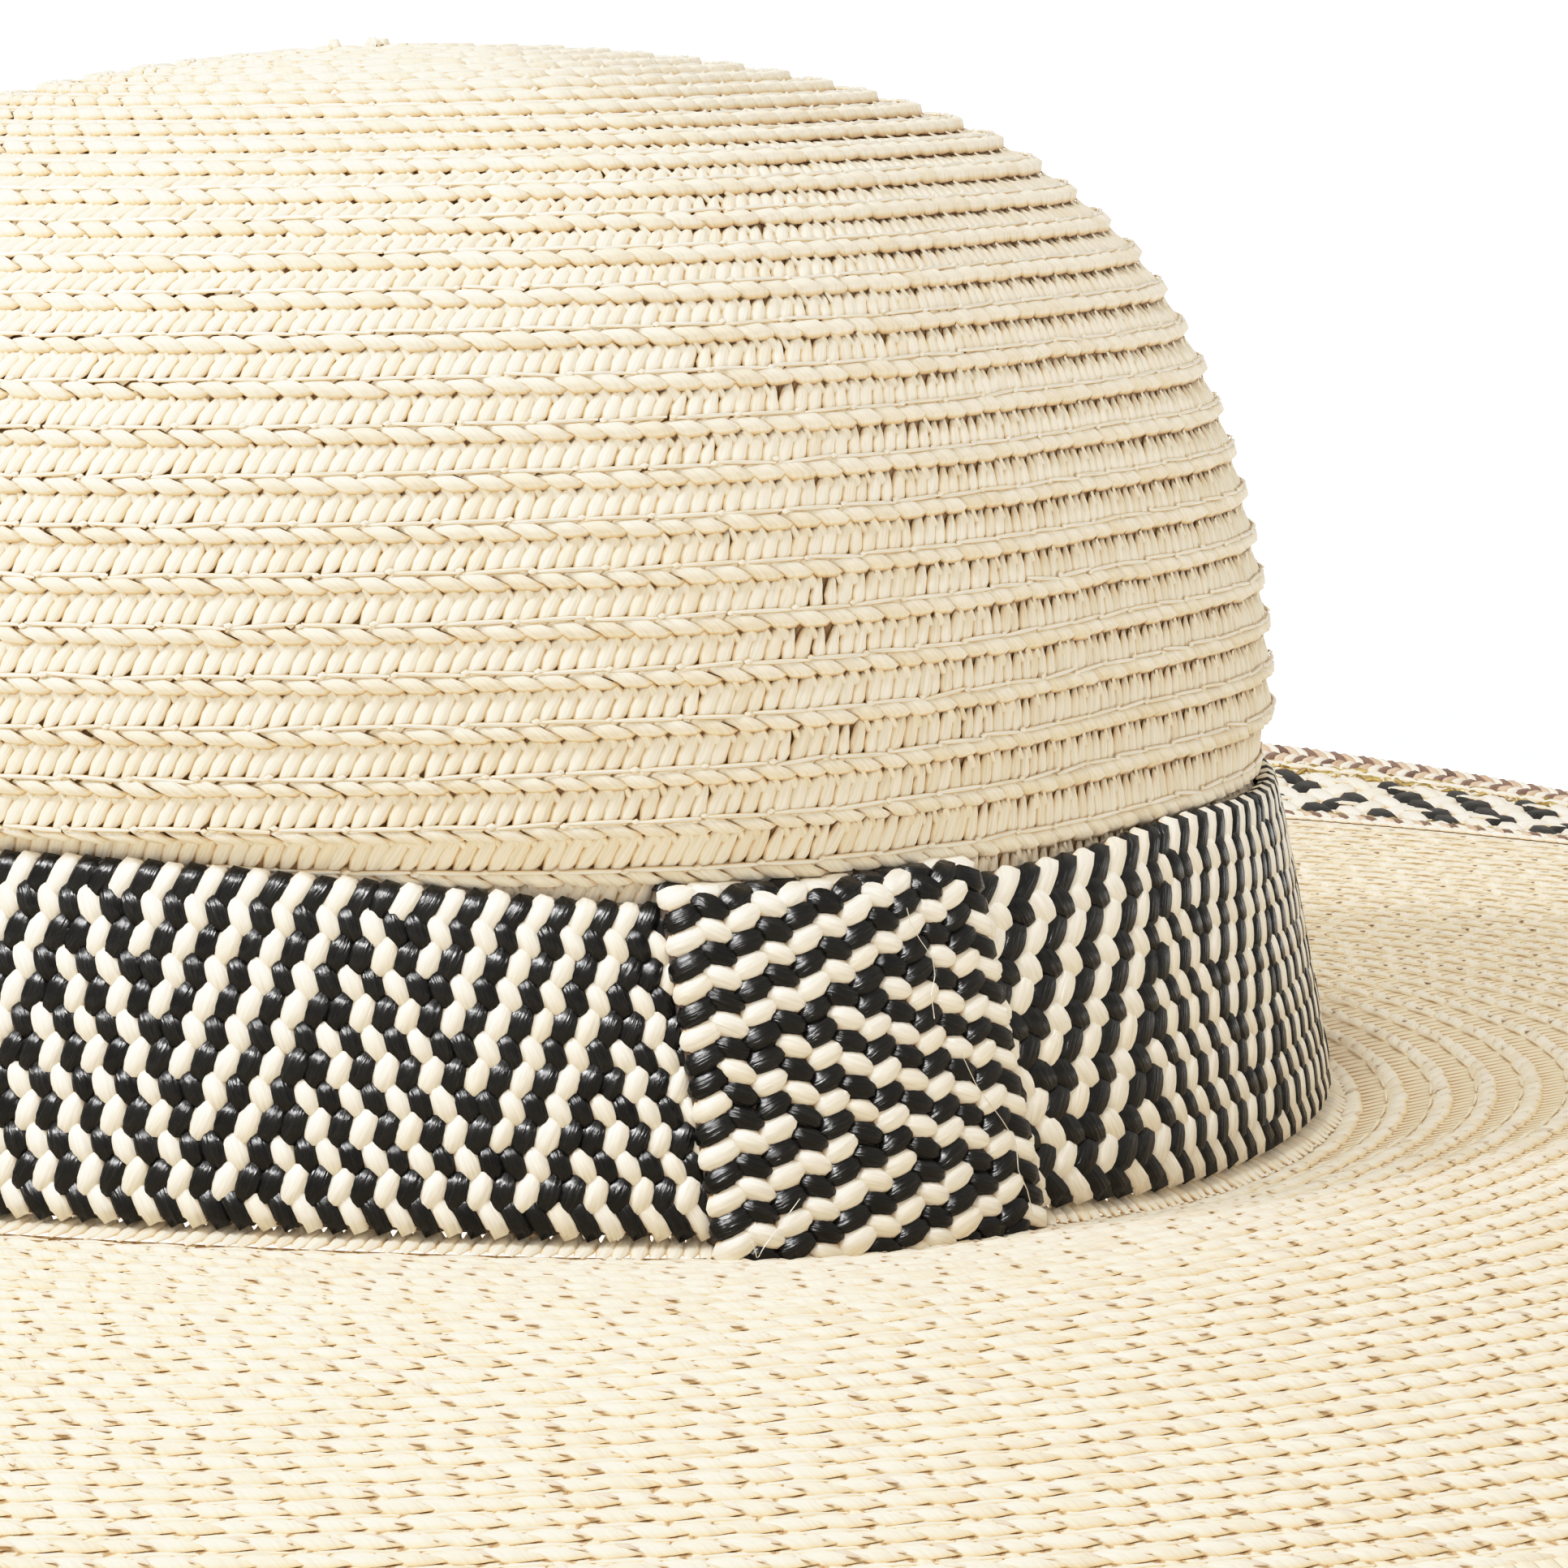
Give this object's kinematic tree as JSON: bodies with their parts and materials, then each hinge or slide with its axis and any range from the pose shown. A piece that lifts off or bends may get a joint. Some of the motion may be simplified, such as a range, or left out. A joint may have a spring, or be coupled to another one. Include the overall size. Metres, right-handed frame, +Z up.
{
  "type": "floppy straw hat",
  "caption": "Wide-brimmed floppy sun hat of sewn straw braid with a soft round crown, plaited band, keeper and trimmed rippled brim.",
  "frame": {"origin": "centre of the overall box, on the ground that the brim edge rests on", "axes": "+Z up through the crown, -Y the front of the hat, +X the wearer's left"},
  "size_m": [0.5422, 0.5538, 0.1195],
  "materials": {
    "straw": "matt paper straw, sewn in overlapping rows",
    "plait": "glossy charcoal and matt natural plait",
    "keeper": "glossy charcoal and matt natural plait",
    "edge": "twisted braid of cream, copper and brown",
    "chevron": "flat plait, natural with charcoal zigzag",
    "gold": "natural braid with metallic gold thread"
  },
  "bodies": {
    "root": {"crown_tip": "straw", "crown_shoulder": "straw", "crown_side": "straw", "brim": "straw", "hat_band": "plait", "band_keeper": "keeper", "inner_braid": "edge", "chevron_braid": "chevron", "gold_braid": "gold", "edge_braid": "edge"}
  },
  "joints": []
}
